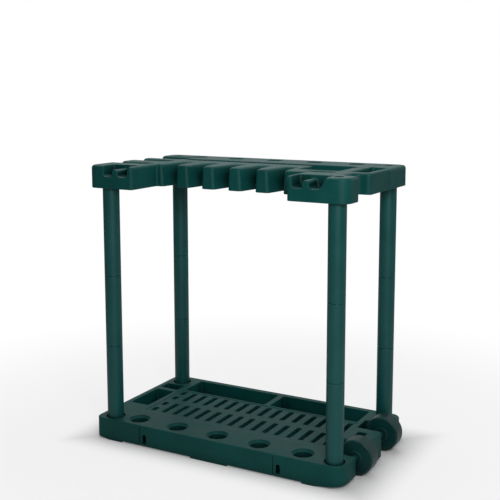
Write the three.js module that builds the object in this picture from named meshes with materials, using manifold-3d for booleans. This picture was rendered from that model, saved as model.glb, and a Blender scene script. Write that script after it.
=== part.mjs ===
// Freestanding garden tool rack in moulded plastic: a slatted base tray with two wheels at its
// right-hand end, four posts of three tube sections each, and a slotted top rack.
// Millimetres, +Z up, +X along the length towards the wheels, +Y from the front to the back.

import * as THREE from "three";
import { mergeVertices } from "three/addons/utils/BufferGeometryUtils.js";
import Module from "manifold-3d";

const wasm = await Module();
wasm.setup();

// Driving sizes shared by all pieces
const fit = 0.3; // gap left between pieces that touch
const overrun = 6; // how far a cut runs past the face that it opens
const postSpanX = 670; // post centre to post centre along the length
const postSpanY = 340; // post centre to post centre front to back

// Posts
const postRadius = 22.5;
const postWall = 2;
const postChamfer = 1.2; // bevel that makes the dark line at each seam
const lowerLength = 252;
const middleLength = 198;
const upperLength = 265;
const spigotLength = 30; // necked end that the next section slides over

// Base tray shell
const trayLeftOverhang = 45; // from the post centres to the ends of the tray
const trayRightOverhang = 37;
const trayFrontOverhang = 35;
const trayBackOverhang = 45;
const trayHeight = 60;
const trayWall = 3;
const deckThickness = 3.5;
const trayEdge = 3; // softened upper edge
const trayFrontCorner = 36;
const trayLeftCorner = 22; // front left
const trayBackCorner = 30;
const footHeight = 4;
const leftFoot = 90; // lengths of the skirt that reach the ground
const rightFoot = 111;
const middleFoot = 113;
const middleFootShift = -10.5;
const leftRiseLength = 45; // the skirt rises towards both ends, so that the rack can be tipped
const leftRise = 8;
const rightRiseLength = 80;
const rightRise = 11;
const sideArch = 210; // raised stretch of the skirt on the left end

// Post sockets in the tray
const socketFloorHeight = 9;
const socketFloor = 3;
const socketWall = 3;
const recessRadius = 26.5; // dished ring round each post
const recessDepth = 6;

// Cups for handle ends
const cupCount = 5;
const cupLeftInset = 120; // from the ends of the tray to the outer cups
const cupRightInset = 128;
const cupInset = 44; // from the front face to the row of centres
const cupRadius = 25;
const cupRimRadius = 29;
const cupRimDepth = 6;
const cupLip = 2; // fall of the ledge between the rim and the cup
const cupDepth = 47;
const cupWall = 2.5;

// Slatted floor
const slatCount = 16;
const slatLeftInset = 92; // from the left end of the tray to the slatted floor
const slatBayGap = 9;
const slatWidth = 15;
const slatCorner = 3;
const slatStart = 121; // from the front face to the first row
const slatRowLength = 76;
const slatRowGap = 28;
const slatBackRowLength = 70;
const slatDepth = 13; // height of the slats
const slatWall = 2.4;
const panelDrop = 1.5; // the slatted panel lies lower than the cup strip
const panelMargin = 14;
const stubLength = 26; // short slots of the first column

// Troughs
const troughFloorHeight = 13;
const troughFloor = 2.5;
const troughWall = 2.5;
const troughCorner = 5;
const backTroughDepth = 92;
const backTroughMargin = 19; // from the back face
const backTroughLeftInset = 99; // from the ends of the tray
const backTroughRightInset = 91;
const backTroughRib = 18; // web between the two back troughs
const sideTroughMargin = 17;
const sideTroughWidth = 60;
const sideTroughLength = 135;
const sideTroughStart = 145; // from the front face
const smallTroughLength = 40;
const smallTroughGap = 18;

// Skirt details
const grooveWidth = 2.6;
const grooveDepth = 1.3;
const grooveLeft = 151; // from the left end of the tray to the first groove
const grooveRight = 191; // from the right end to the second
const latchWidth = 11;
const latchHeight = 25;
const latchRise = 10;
const latchOffset = 14; // from the groove to the middle of the latch hole
const ribThickness = 2.4;
const ribHeight = 20;

// Wheels and axle
const wheelRadius = 46;
const wheelWidth = 44;
const wheelShoulder = 5; // rounding between the face and the tread
const wheelDish = 1.5;
const wheelDishRadius = 38;
const wheelFloorGap = 2; // the rack stands on its feet and rolls when it is tipped
const wheelInset = 11; // from the right end of the tray to the axle
const axleRadius = 5;
const boreGap = 0.4;
const capRadius = 6.5;
const capLength = 10;
const capEdge = 2;
const bossRadius = 8;

// Wheel bay and the block between the wheels
const bayDepth = 75;
const bayFrontInset = 87; // from the front and back faces of the tray
const bayBackInset = 84;
const bayFrontGap = 16;
const bayBackGap = 8;
const bayCorner = 5;
const bayEndCorner = 5;
const blockFrontGap = 3;
const blockBackGap = 42;
const blockReach = 9; // how far the block stands out past the tray's end
const blockRise = 14;
const blockCorner = 9;
const blockEdge = 4;
const blockBottom = 8;
const blockSlotShare = 0.36; // of the block, front to back
const blockSlotWidth = 25;
const blockSlotDepth = 40;
const blockSlotInset = 30; // from the block's outer face

// Top rack shell
const rackHeight = 62;
const rackWall = 3;
const rackTop = 3.5;
const rackEdge = 7; // softened upper edge
const rackFootEdge = 2; // bevel along the lower edge
const loopLift = 8; // the loop and the back right block end this much higher
const rackLeftOverhang = 49;
const rackRightOverhang = 41;
const rackFrontOverhang = 35;
const rackBackOverhang = 43;
const rackLeftCorner = 24;
const rackRightCorner = 30;
const rackSocketDepth = 23;
const rackSocketWall = 3;
const leftBlockLength = 144;
const rightBlockLength = 161;
const blockFaceCorner = 9;
const innerCorner = 6;

// Front fingers and the tapered slots between them
const slotCount = 5;
const slotLeftInset = 41; // from the inner sides of the blocks to the outer slots
const slotRightInset = 88;
const fingerSetback = 115;
const fingerCorner = 9;
const slotMouthTopShare = 0.59; // widths, as shares of the pitch of the slots
const slotMouthBottomShare = 0.51;
const slotEndTopShare = 0.4;
const slotEndBottomShare = 0.25;
const slotDepthTop = 104;
const slotDepthBottom = 88;

// Slots on the ends of the rack
const sideSlotDepth = 120;
const sideTipSetback = 4;
const sideTipCorner = 13;
const sideSlotCorner = 10;
const leftBackShare = 0.172; // solid and open stretches from the back, as shares of the rack's depth
const leftGapShares = [0.165, 0.105, 0.081];
const leftFingerShares = [0.084, 0.1435];
const rightBlockDepth = 70;
const rightGap = 74;
const rightSlotDepth = 44;
const rightSlotCorner = 20;

// Loop on the right-hand end
const loopWall = 16;
const loopFrontWall = 15;
const loopPocketInset = 113; // from the rack's back face
const loopPocketWidth = 46;
const loopCrown = 10; // fall of the arched outer wall at its ends
const loopArchLength = 122;

// Windows and holes in the rack
const windowEdge = 4;
const windowLeftMargin = 134;
const windowRightMargin = 97;
const windowBack = 118; // from the rack's back face
const windowShallow = 37;
const windowFrontInset = 163; // from the rack's front face to the wide part of the window
const windowStep = 212; // from the right end to the step in the window
const windowCorner = 8;
const narrowSlotLength = 80;
const narrowSlotWidth = 26;
const narrowSlotInset = 88; // from the right end
const narrowSlotSetback = 117;
const railHoleRadius = 22;
const railHoleInset = 48;
const postHoleRadius = 13;
const smallHoleRadius = 8;
const smallHoleOffset = 31; // to the left of the back right post

// Notched rests in the two front blocks
const notchWidth = 32;
const notchCorner = 7;
const notchTongue = 11;
const notchTongueDrop = 13;
const notchDepth = 28;
const notchRecess = 50;
const notchLeftInset = 50;
const notchRightInset = 73;

// Facets
const cornerSteps = 3; // facets in each large rounded corner
const slatSteps = 1;
const softSteps = 2; // facets in a small corner and across a softened edge
const tubeSides = 16;
const capSides = 12;
const wheelSides = 24;
const leastRadiusShare = 0.05;
const roomShare = 0.48; // a corner's rounding takes no more of its shorter side than this

// Places worked out from the sizes above
const trayLeft = -postSpanX / 2 - trayLeftOverhang;
const trayRight = postSpanX / 2 + trayRightOverhang;
const trayFront = -postSpanY / 2 - trayFrontOverhang;
const trayBack = postSpanY / 2 + trayBackOverhang;
const postBore = postRadius + fit;
const postFoot = socketFloorHeight + socketFloor + fit;
const lowerTop = postFoot + lowerLength;
const middleTop = lowerTop + middleLength;
const upperTop = middleTop + upperLength;
const rackBottom = upperTop + fit - rackSocketDepth;
const rackSurface = rackBottom + rackHeight;
const rackLeft = -postSpanX / 2 - rackLeftOverhang;
const rackRight = postSpanX / 2 + rackRightOverhang;
const rackFront = -postSpanY / 2 - rackFrontOverhang;
const rackBack = postSpanY / 2 + rackBackOverhang;
const fingerFront = rackFront + fingerSetback;
const rowLeft = rackLeft + leftBlockLength;
const rowRight = rackRight - rightBlockLength;
const slotPitch = (rowRight - slotRightInset - rowLeft - slotLeftInset) / (slotCount - 1);
const windowFront = rackFront + windowFrontInset;
const loopStart = rackFront + rightBlockDepth + rightGap;
const axleX = trayRight - wheelInset;
const axleZ = wheelRadius + wheelFloorGap;
const bayX = trayRight - bayDepth;
const bayFront = trayFront + bayFrontInset;
const bayBack = trayBack - bayBackInset;
const frontWheelY = bayFront + bayFrontGap + wheelWidth / 2;
const backWheelY = bayBack - bayBackGap - wheelWidth / 2;
const blockFront = frontWheelY + wheelWidth / 2 + blockFrontGap;
const blockBack = backWheelY - wheelWidth / 2 - blockBackGap;
const slatLeft = trayLeft + slatLeftInset;
const slatRight = bayX - slatBayGap;
const slatPitch = (slatRight - slatLeft) / slatCount;
const blockRight = trayRight + blockReach;
const axleFront = bayFront - trayWall - capLength + capEdge;
const axleBack = bayBack + trayWall + capLength - capEdge;
const cupY = trayFront + cupInset;
const cupPitch = (trayRight - cupRightInset - trayLeft - cupLeftInset) / (cupCount - 1);
const cupXs = Array.from({ length: cupCount }, (_, i) => trayLeft + cupLeftInset + i * cupPitch);
const postPlaces = [
  { name: "front_left", x: -postSpanX / 2, y: -postSpanY / 2 },
  { name: "front_right", x: postSpanX / 2, y: -postSpanY / 2 },
  { name: "back_right", x: postSpanX / 2, y: postSpanY / 2 },
  { name: "back_left", x: -postSpanX / 2, y: postSpanY / 2 },
];

// Closed mesh to boolean solid and back
function solid(geometry) {
  const bare = geometry.clone();
  bare.deleteAttribute("normal");
  bare.deleteAttribute("uv");
  const merged = mergeVertices(bare);
  const vertProperties = Float32Array.from(merged.attributes.position.array);
  const triVerts = Uint32Array.from(merged.index.array);
  return new wasm.Manifold(new wasm.Mesh({ numProp: 3, vertProperties, triVerts }));
}

function geometryOf(body) {
  const mesh = body.getMesh();
  const geometry = new THREE.BufferGeometry();
  geometry.setAttribute("position", new THREE.BufferAttribute(mesh.vertProperties, 3));
  geometry.setIndex(new THREE.BufferAttribute(mesh.triVerts, 1));
  return geometry;
}

function joined(bodies) {
  return bodies.reduce((sum, body) => sum.add(body));
}

// Corner list of a rectangle, anticlockwise, with one rounding radius
function rectangle(x0, x1, y0, y1, r = 0, steps = cornerSteps) {
  return [
    { x: x0, y: y0, r, steps },
    { x: x1, y: y0, r, steps },
    { x: x1, y: y1, r, steps },
    { x: x0, y: y1, r, steps },
  ];
}

// A circle is a square whose corners are fully rounded
function disc(x, y, radius, steps = cornerSteps) {
  const corners = rectangle(x - radius, x + radius, y - radius, y + radius, radius, steps);
  return corners.map((corner) => ({ ...corner, whole: true }));
}

// Rounded outline of an anticlockwise corner list, moved inwards by inset.
// Outward corners lose radius as they move in, and inward corners gain it.
// The corners of a whole circle meet, and share their points.
function outline(corners, inset = 0) {
  return corners.flatMap((corner, i) => {
    const before = corners.at(i - 1);
    const after = corners[(i + 1) % corners.length];
    const arrive = new THREE.Vector2(corner.x - before.x, corner.y - before.y);
    const leave = new THREE.Vector2(after.x - corner.x, after.y - corner.y);
    const room = Math.min(arrive.length(), leave.length()) * (corner.whole ? 1 / 2 : roomShare);
    arrive.normalize();
    leave.normalize();
    const sideways = new THREE.Vector2(-arrive.y - leave.y, arrive.x + leave.x);
    const place = new THREE.Vector2(corner.x, corner.y);
    place.addScaledVector(sideways, inset / (1 + arrive.dot(leave)));
    if (!corner.r) return [place];
    const turn = Math.atan2(arrive.cross(leave), arrive.dot(leave));
    const slope = Math.tan(Math.abs(turn) / 2);
    const full = Math.min(corner.r, room / slope);
    const radius = Math.max(full - Math.sign(turn) * inset, full * leastRadiusShare);
    const start = place.clone().addScaledVector(arrive, -radius * slope);
    const centre = new THREE.Vector2(-arrive.y, arrive.x).multiplyScalar(Math.sign(turn) * radius).add(start);
    const steps = corner.steps ?? cornerSteps;
    const length = corner.whole ? steps : steps + 1;
    return Array.from({ length }, (_, k) => start.clone().rotateAround(centre, (turn * k) / steps));
  });
}

// Closed skin through rings of equally many points, from the lowest ring to the highest
function loft(levels) {
  const count = levels[0].ring.length;
  const points = levels.flatMap(({ ring, z }) => ring.map((p) => new THREE.Vector3(p.x, p.y, z)));
  const index = [];
  for (let level = 0; level + 1 < levels.length; level += 1) {
    for (let i = 0; i < count; i += 1) {
      const a = level * count + i;
      const b = level * count + ((i + 1) % count);
      index.push(a, b, b + count, a, b + count, a + count);
    }
  }
  const last = (levels.length - 1) * count;
  for (const [a, b, c] of THREE.ShapeUtils.triangulateShape(levels[0].ring, [])) index.push(a, c, b);
  for (const [a, b, c] of THREE.ShapeUtils.triangulateShape(levels.at(-1).ring, [])) {
    index.push(last + a, last + b, last + c);
  }
  const geometry = new THREE.BufferGeometry().setFromPoints(points);
  geometry.setIndex(index);
  return geometry;
}

// Levels of an edge that rounds over towards the top by the given radius
function softLevels(corners, z1, edge, inset) {
  if (!edge) return [{ ring: outline(corners, inset), z: z1 }];
  return Array.from({ length: softSteps + 1 }, (_, k) => {
    const angle = ((Math.PI / 2) * k) / softSteps;
    const inwards = edge * (1 - Math.cos(angle));
    return { ring: outline(corners, inset + inwards), z: z1 - edge + edge * Math.sin(angle) };
  });
}

// Upright block with a softened top edge
function block(corners, z0, z1, edge = 0, inset = 0) {
  const foot = { ring: outline(corners, inset), z: z0 };
  return solid(loft([foot, ...softLevels(corners, z1, edge, inset)]));
}

// Cutter whose mouth flares at z1, so that the rim it leaves is softened
function cutter(corners, z0, z1, edge = 0) {
  const rim = edge ? flareLevels(corners, z1, edge) : [];
  const foot = { ring: outline(corners), z: z0 };
  const mouth = { ring: outline(corners, -edge), z: z1 + overrun };
  return solid(loft([foot, ...rim, mouth]));
}

function flareLevels(corners, z1, edge) {
  return Array.from({ length: softSteps + 1 }, (_, k) => {
    const angle = ((Math.PI / 2) * k) / softSteps;
    const outwards = edge * (1 - Math.cos(angle));
    return { ring: outline(corners, -outwards), z: z1 - edge + edge * Math.sin(angle) };
  });
}

// Block drawn in the XZ plane and run from y0 to y1
function crosswise(corners, y0, y1, inset = 0) {
  const ring = outline(corners, inset);
  const geometry = loft([
    { ring, z: -y1 },
    { ring, z: -y0 },
  ]);
  return solid(geometry.rotateX(Math.PI / 2));
}

// Rod along Y
function rod(x, z, radius, y0, y1) {
  return crosswise(disc(x, z, radius, tubeSides / 4), y0, y1);
}

function named(name, geometry, look) {
  const mesh = new THREE.Mesh(geometry, new THREE.MeshStandardMaterial(look));
  mesh.name = name;
  mesh.geometry.computeVertexNormals();
  return mesh;
}

// Base tray
function trayCorners() {
  return [
    { x: trayLeft, y: trayFront, r: trayLeftCorner },
    { x: trayRight, y: trayFront, r: trayFrontCorner },
    { x: trayRight, y: bayFront, r: bayEndCorner, steps: softSteps },
    { x: bayX, y: bayFront, r: bayCorner, steps: softSteps },
    { x: bayX, y: bayBack, r: bayCorner, steps: softSteps },
    { x: trayRight, y: bayBack, r: bayEndCorner, steps: softSteps },
    { x: trayRight, y: trayBack, r: trayBackCorner },
    { x: trayLeft, y: trayBack, r: trayBackCorner },
  ];
}

// Rows of floor slots, each as the start and end of its slots
function slatRows() {
  const first = trayFront + slatStart;
  const second = first + slatRowLength + slatRowGap;
  return [
    [first, first + slatRowLength],
    [second, second + slatBackRowLength],
  ];
}

function slatSlots(radius) {
  const rows = slatRows();
  const slots = [];
  for (let column = 0; column < slatCount; column += 1) {
    const x = slatLeft + (column + 1 / 2) * slatPitch;
    for (const [y0, y1] of rows) {
      const stretches = column ? [[y0, y1]] : [[y0, y0 + stubLength], [y1 - stubLength, y1]];
      for (const [a, b] of stretches) {
        slots.push(rectangle(x - slatWidth / 2, x + slatWidth / 2, a, b, radius, slatSteps));
      }
    }
  }
  return slots;
}

function slatPanel(margin) {
  const rows = slatRows();
  return rectangle(slatLeft, slatRight, rows[0][0] - margin, rows[1][1] + margin / 2, slatCorner);
}

function troughs() {
  const back = trayBack - backTroughMargin;
  const front = back - backTroughDepth;
  const left = trayLeft + backTroughLeftInset;
  const right = trayRight - backTroughRightInset;
  const middle = (left + right) / 2;
  const rib = backTroughRib / 2;
  const side = trayLeft + sideTroughMargin;
  const start = trayFront + sideTroughStart;
  const second = start + sideTroughLength + smallTroughGap;
  return [
    rectangle(left, middle - rib, front, back, troughCorner, softSteps),
    rectangle(middle + rib, right, front, back, troughCorner, softSteps),
    rectangle(side, side + sideTroughWidth, start, start + sideTroughLength, troughCorner, softSteps),
    rectangle(side, side + sideTroughWidth, second, second + smallTroughLength, troughCorner, softSteps),
  ];
}

// Walls that stand inside the shell: cups, post sockets, troughs, collars of the floor slots and ribs
function trayInnards() {
  const deck = trayHeight;
  const cups = cupXs.map((x) =>
    block(disc(x, cupY, cupRadius + cupWall), trayHeight - cupDepth - cupWall, deck),
  );
  const rims = cupXs.map((x) =>
    block(disc(x, cupY, cupRimRadius + cupWall), trayHeight - cupRimDepth - cupWall, deck),
  );
  const sockets = postPlaces.map(({ x, y }) =>
    block(disc(x, y, postBore + socketWall), socketFloorHeight, deck),
  );
  const recesses = postPlaces.map(({ x, y }) =>
    block(disc(x, y, recessRadius + socketWall), deck - recessDepth - socketFloor, deck),
  );
  const pits = troughs().map((corners) =>
    block(corners, troughFloorHeight - troughFloor, deck, 0, -troughWall),
  );
  const slats = slatSlots(0).map((corners) =>
    block(corners, deck - panelDrop - slatDepth, deck, 0, -slatWall),
  );
  return joined([...cups, ...rims, ...sockets, ...recesses, ...pits, ...slats, ...trayRibs()]);
}

// Stiffening ribs under the deck
function trayRibs() {
  const half = ribThickness / 2;
  const top = trayHeight;
  const bottom = top - ribHeight;
  const rows = slatRows();
  const between = rows[0][1] + slatRowGap / 2;
  const lengthwise = [trayFront + slatStart - panelMargin, between].map((y) =>
    block(rectangle(trayLeft + trayWall / 2, bayX - trayWall / 2, y - half, y + half), bottom, top),
  );
  const across = cupXs.slice(1).map((x) => x - cupPitch / 2).map((x) =>
    block(rectangle(x - half, x + half, trayFront + trayWall / 2, rows[0][0]), bottom, top),
  );
  return [...lengthwise, ...across];
}

function trayCavities() {
  const deck = trayHeight;
  const cups = cupXs.map((x) => cutter(disc(x, cupY, cupRadius), deck - cupDepth, deck));
  const rims = cupXs.map((x) => cupRim(x));
  const bores = postPlaces.map(({ x, y }) =>
    cutter(disc(x, y, postBore, tubeSides / 4), socketFloorHeight + socketFloor, deck),
  );
  const recesses = postPlaces.map(({ x, y }) => cutter(disc(x, y, recessRadius), deck - recessDepth, deck));
  const pits = troughs().map((corners) => cutter(corners, troughFloorHeight, deck, slatCorner / 2));
  const panel = cutter(slatPanel(panelMargin), deck - panelDrop, deck);
  const slots = slatSlots(slatCorner).map((corners) =>
    cutter(corners, deck - panelDrop - slatDepth - overrun, deck),
  );
  return joined([...cups, ...rims, ...bores, ...recesses, ...pits, panel, ...slots]);
}

// Wider rim round each cup, with a sloping ledge under it
function cupRim(x) {
  const low = outline(disc(x, cupY, cupRadius));
  const high = outline(disc(x, cupY, cupRimRadius));
  return solid(
    loft([
      { ring: low, z: trayHeight - cupRimDepth - cupLip },
      { ring: high, z: trayHeight - cupRimDepth },
      { ring: high, z: trayHeight + overrun },
    ]),
  );
}

// The skirt is lifted between the feet
function skirtArches() {
  const left = trayLeft + leftFoot;
  const right = trayRight - rightFoot;
  const footLeft = middleFootShift - middleFoot / 2;
  const footRight = middleFootShift + middleFoot / 2;
  const y0 = trayFront - overrun;
  const y1 = trayBack + overrun;
  const along = [[left, footLeft], [footRight, right]].map(([a, b]) =>
    block(rectangle(a, b, y0, y1), -overrun, footHeight),
  );
  const half = sideArch / 2;
  const across = [[trayLeft - overrun, left], [right, trayRight + overrun]].map(([a, b]) =>
    block(rectangle(a, b, -half, half), -overrun, footHeight),
  );
  const rises = [
    [trayLeft, trayLeft + leftRiseLength, leftRise],
    [trayRight, trayRight - rightRiseLength, rightRise],
  ].map(([end, start, rise]) => {
    const past = end + Math.sign(end - start) * overrun;
    const corners = [
      { x: start, y: 0 },
      { x: start, y: -overrun },
      { x: past, y: -overrun },
      { x: past, y: (rise * (past - start)) / (end - start) },
    ];
    return crosswise(end > start ? corners : corners.reverse(), y0, y1);
  });
  return joined([...along, ...across, ...rises]);
}

// Vertical grooves in the front skirt, each with an arched latch hole beside it
function skirtLatches() {
  const cuts = [];
  for (const x of [trayLeft + grooveLeft, trayRight - grooveRight]) {
    const groove = rectangle(x - grooveWidth / 2, x + grooveWidth / 2, -overrun, trayHeight - trayEdge);
    cuts.push(crosswise(groove, trayFront - overrun, trayFront + grooveDepth));
    const middle = x + latchOffset;
    const half = latchWidth / 2;
    const hole = rectangle(middle - half, middle + half, latchRise, latchRise + latchHeight, 0, softSteps);
    hole[2].r = half;
    hole[3].r = half;
    cuts.push(crosswise(hole, trayFront - overrun, trayFront + trayWall + overrun));
  }
  return joined(cuts);
}

// Hollow block between the wheels, with a hand slot in its top
function wheelBlock() {
  const top = trayHeight + blockRise;
  const corners = rectangle(bayX - trayWall, blockRight, blockFront, blockBack, blockCorner, softSteps);
  corners[0].r = 0;
  corners[3].r = 0;
  const hollow = rectangle(
    bayX,
    blockRight - trayWall,
    blockFront + trayWall,
    blockBack - trayWall,
    blockCorner - trayWall,
    softSteps,
  );
  const slotRight = blockRight - blockSlotInset;
  const middle = (blockFront + blockBack) / 2;
  const slotLength = (blockBack - blockFront) * blockSlotShare;
  const slot = rectangle(
    slotRight - blockSlotWidth,
    slotRight,
    middle - slotLength / 2,
    middle + slotLength / 2,
    slatCorner,
    softSteps,
  );
  const slotCase = block(slot, top - blockSlotDepth - troughFloor, top - deckThickness, 0, -troughWall);
  const inside = block(hollow, blockBottom - overrun, top - deckThickness).subtract(slotCase);
  return block(corners, blockBottom, top, blockEdge)
    .subtract(inside)
    .subtract(cutter(slot, top - blockSlotDepth, top, trayEdge / 2));
}

// Bosses that hold the wheels in place along the axle
function wheelBosses() {
  const near = wheelWidth / 2 + boreGap;
  const spans = [
    [bayFront - trayWall, frontWheelY - near],
    [frontWheelY + near, blockFront + trayWall],
    [blockBack - trayWall, backWheelY - near],
    [backWheelY + near, bayBack + trayWall],
  ];
  return joined(spans.map(([y0, y1]) => rod(axleX, axleZ, bossRadius, y0, y1)));
}

function baseTray() {
  const shell = block(trayCorners(), 0, trayHeight, trayEdge);
  const hollow = block(trayCorners(), -overrun, trayHeight - deckThickness, 0, trayWall);
  const tray = shell
    .subtract(hollow.subtract(trayInnards()))
    .subtract(trayCavities())
    .subtract(skirtArches())
    .subtract(skirtLatches())
    .add(wheelBlock())
    .add(wheelBosses())
    .subtract(rod(axleX, axleZ, axleRadius + fit, axleFront, axleBack));
  return geometryOf(tray);
}

// Top rack
function rackCorners(low) {
  const mouth = ((low ? slotMouthBottomShare : slotMouthTopShare) * slotPitch) / 2;
  const end = ((low ? slotEndBottomShare : slotEndTopShare) * slotPitch) / 2;
  const depth = fingerFront + (low ? slotDepthBottom : slotDepthTop);
  const slots = Array.from({ length: slotCount }, (_, i) => rowLeft + slotLeftInset + i * slotPitch);
  const front = slots.flatMap((x) => [
    { x: x - mouth, y: fingerFront, r: fingerCorner, steps: softSteps },
    { x: x - end, y: depth, r: end },
    { x: x + end, y: depth, r: end },
    { x: x + mouth, y: fingerFront, r: fingerCorner, steps: softSteps },
  ]);
  return [
    { x: rackLeft, y: rackFront, r: rackLeftCorner },
    { x: rowLeft, y: rackFront, r: blockFaceCorner, steps: softSteps },
    { x: rowLeft, y: fingerFront, r: innerCorner, steps: softSteps },
    ...front,
    { x: rowRight, y: fingerFront, r: innerCorner, steps: softSteps },
    { x: rowRight, y: rackFront, r: blockFaceCorner, steps: softSteps },
    { x: rackRight, y: rackFront, r: rackRightCorner },
    ...rightSlotCorners(),
    { x: rackRight, y: rackBack, r: rackRightCorner },
    { x: rackLeft, y: rackBack, r: rackLeftCorner },
    ...leftSlotCorners(),
  ];
}

function rightSlotCorners() {
  const y0 = rackFront + rightBlockDepth;
  const y1 = loopStart;
  const inner = rackRight - rightSlotDepth;
  return [
    { x: rackRight, y: y0, r: blockFaceCorner, steps: softSteps },
    { x: inner, y: y0, r: rightSlotCorner },
    { x: inner, y: y1, r: rightSlotCorner },
    { x: rackRight, y: y1, r: sideTipCorner },
  ];
}

// Three slots between rounded fingers on the left end, listed from the back to the front
function leftSlotCorners() {
  const tip = rackLeft + sideTipSetback;
  const inner = rackLeft + sideSlotDepth;
  const slot = (xBack, y1, y0, xFront) => [
    { x: xBack, y: y1, r: sideTipCorner },
    { x: inner, y: y1, r: sideSlotCorner },
    { x: inner, y: y0, r: sideSlotCorner },
    { x: xFront, y: y0, r: sideTipCorner },
  ];
  const depth = rackBack - rackFront;
  const gaps = leftGapShares.map((share) => share * depth);
  const fingers = leftFingerShares.map((share) => share * depth);
  const first = rackBack - leftBackShare * depth;
  const second = first - gaps[0] - fingers[0];
  const third = second - gaps[1] - fingers[1];
  return [
    ...slot(rackLeft, first, first - gaps[0], tip),
    ...slot(tip, second, second - gaps[1], tip),
    ...slot(tip, third, third - gaps[2], rackLeft),
  ];
}

// Closed openings that run right through the rack
function rackWindows() {
  const back = rackBack - windowBack;
  const step = rackRight - windowStep;
  const window = [
    { x: rackLeft + windowLeftMargin, y: back - windowShallow, r: windowCorner, steps: softSteps },
    { x: step, y: back - windowShallow, r: windowCorner, steps: softSteps },
    { x: step, y: windowFront, r: windowCorner, steps: softSteps },
    { x: rackRight - windowRightMargin, y: windowFront, r: windowCorner, steps: softSteps },
    { x: rackRight - windowRightMargin, y: back, r: windowCorner, steps: softSteps },
    { x: rackLeft + windowLeftMargin, y: back, r: windowCorner, steps: softSteps },
  ];
  const narrowRight = rackRight - narrowSlotInset;
  const narrowFront = rackFront + narrowSlotSetback;
  const narrow = rectangle(
    narrowRight - narrowSlotLength,
    narrowRight,
    narrowFront,
    narrowFront + narrowSlotWidth,
    narrowSlotWidth / 2,
  );
  const pocket = rectangle(
    rackRight - loopWall - loopPocketWidth,
    rackRight - loopWall,
    loopStart + loopFrontWall,
    rackBack - loopPocketInset,
    windowCorner,
    softSteps,
  );
  const holes = cupXs.map((x) => disc(x, rackBack - railHoleInset, railHoleRadius));
  return [window, narrow, pocket, ...holes];
}

// Two rounded rests cut into the front and top of a block, with a low tongue between them
function notchPair(middle, inset = 0) {
  const half = notchWidth + notchTongue / 2;
  const tongue = notchTongue / 2;
  const floor = rackSurface - notchDepth;
  const crest = rackSurface - notchTongueDrop;
  const corners = [
    { x: middle - half, y: floor, r: notchCorner, steps: softSteps },
    { x: middle - tongue, y: floor, r: notchCorner, steps: softSteps },
    { x: middle - tongue, y: crest, r: tongue, steps: softSteps },
    { x: middle + tongue, y: crest, r: tongue, steps: softSteps },
    { x: middle + tongue, y: floor, r: notchCorner, steps: softSteps },
    { x: middle + half, y: floor, r: notchCorner, steps: softSteps },
    { x: middle + half, y: rackSurface + overrun, r: 0 },
    { x: middle - half, y: rackSurface + overrun, r: 0 },
  ];
  return crosswise(corners, rackFront - overrun, rackFront + notchRecess - inset, inset);
}

// What is cut from the loop's outer wall, which arches in side view. The drop lowers the cut.
function loopArch(drop = 0) {
  const y0 = loopStart;
  const y1 = y0 + loopArchLength;
  const top = rackSurface - drop;
  const over = rackSurface + overrun;
  const inner = rackRight - loopWall;
  const ends = [
    [y0 - overrun, y0, y0 + loopArchLength / 2],
    [y1, y1, y1 - loopArchLength / 2],
  ];
  return joined(
    ends.map(([outer, foot, crown]) => {
      const shape = new THREE.Shape();
      shape.moveTo(outer, over);
      shape.lineTo(outer, top - loopCrown);
      shape.lineTo(foot, top - loopCrown);
      shape.quadraticCurveTo((foot + crown) / 2, top, crown, top);
      shape.lineTo(crown, over);
      shape.closePath();
      const geometry = new THREE.ExtrudeGeometry(shape, {
        depth: loopWall + overrun,
        bevelEnabled: false,
        curveSegments: cornerSteps,
      });
      geometry.rotateX(Math.PI / 2).rotateZ(Math.PI / 2).translate(inner, 0, 0);
      return solid(geometry);
    }),
  );
}

// Post sockets, the tubes that lead from them to the holes above, and ribs across the back rail
function rackInnards() {
  const roof = rackBottom + rackSocketDepth + rackSocketWall;
  const sockets = postPlaces.map(({ x, y }) =>
    block(disc(x, y, postBore + rackSocketWall), rackBottom - overrun, roof),
  );
  const tubes = postPlaces.map(({ x, y }) =>
    block(disc(x, y, postHoleRadius + rackSocketWall), roof - rackSocketWall, rackSurface),
  );
  const half = ribThickness / 2;
  const ribs = cupXs.slice(1).map((x) => x - cupPitch / 2).map((x) =>
    block(
      rectangle(x - half, x + half, rackBack - windowBack + rackWall / 2, rackBack - rackWall / 2),
      rackSurface - ribHeight,
      rackSurface,
    ),
  );
  return joined([...sockets, ...tubes, ...ribs]);
}

function rackCavities() {
  const windows = rackWindows().map((corners) =>
    cutter(corners, rackBottom - overrun, rackSurface, windowEdge),
  );
  const bores = postPlaces.map(({ x, y }) =>
    block(disc(x, y, postBore, tubeSides / 4), rackBottom - overrun, rackBottom + rackSocketDepth),
  );
  const holes = postPlaces.map(({ x, y }) => cutter(disc(x, y, postHoleRadius), rackBottom, rackSurface, windowEdge / 2));
  const small = cutter(
    disc(postSpanX / 2 - smallHoleOffset, postSpanY / 2, smallHoleRadius),
    rackSurface - rackTop - overrun,
    rackSurface,
  );
  return joined([...windows, ...bores, ...holes, small, ...notchMiddles().map((x) => notchPair(x))]);
}

function notchMiddles() {
  const half = notchWidth + notchTongue / 2;
  return [rackLeft + notchLeftInset + half, rackRight - notchRightInset - half];
}

// The rack's form between its lower and upper outlines, carried on downwards by drop
function rackForm(drop, z1, edge, inset) {
  const low = rackCorners(true);
  const foot = drop
    ? [{ ring: outline(low, inset), z: rackBottom - drop }]
    : [
        { ring: outline(low, rackFootEdge), z: rackBottom },
        { ring: outline(low), z: rackBottom + rackFootEdge },
      ];
  return solid(loft([...foot, ...softLevels(rackCorners(false), z1, edge, inset)]));
}

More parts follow.
